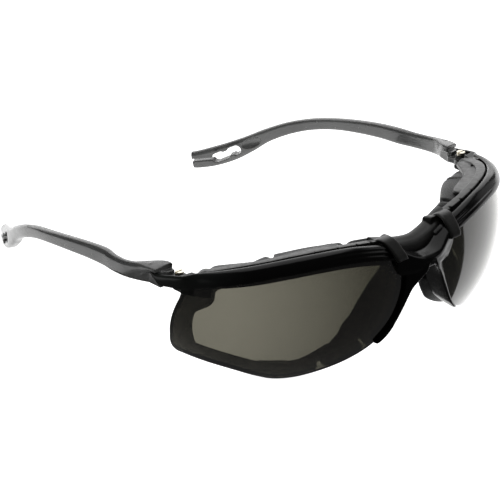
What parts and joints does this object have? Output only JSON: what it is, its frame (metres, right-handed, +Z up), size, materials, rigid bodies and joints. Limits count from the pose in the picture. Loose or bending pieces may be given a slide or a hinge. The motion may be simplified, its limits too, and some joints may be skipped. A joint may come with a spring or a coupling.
{
  "type": "safety glasses",
  "caption": "Wraparound safety glasses with smoked lenses, a foam gasket on a clip-in carrier, and folding temples with slotted tips.",
  "frame": {"origin": "under the middle of the bounding box, with the temples open", "axes": "+Z up, -Y the way the wearer looks, +X the wearer's left"},
  "size_m": [0.1476, 0.163, 0.0481],
  "materials": {
    "frame": "gloss",
    "carrier": "satin",
    "lens": "polished",
    "foam": "matt closed-cell foam",
    "temple": "translucent gloss",
    "screw": "polished"
  },
  "bodies": {
    "front": {"frame_front": "frame", "gasket_carrier": "carrier", "lens_right": "lens", "lens_left": "lens", "gasket_foam_right": "foam", "gasket_foam_left": "foam", "hinge_screw_right": "screw", "hinge_screw_left": "screw"},
    "right_arm": {"temple_right": "temple"},
    "left_arm": {"temple_left": "temple"}
  },
  "joints": [
    {"name": "right_fold", "type": "hinge", "parent": "front", "child": "right_arm", "pos_m": [-0.0676, -0.03311, 0.03503], "axis": [0, 0, -1], "range_deg": [0, 78]},
    {"name": "left_fold", "type": "hinge", "parent": "front", "child": "left_arm", "pos_m": [0.0676, -0.03311, 0.03503], "axis": [0, 0, 1], "range_deg": [0, 73]}
  ]
}
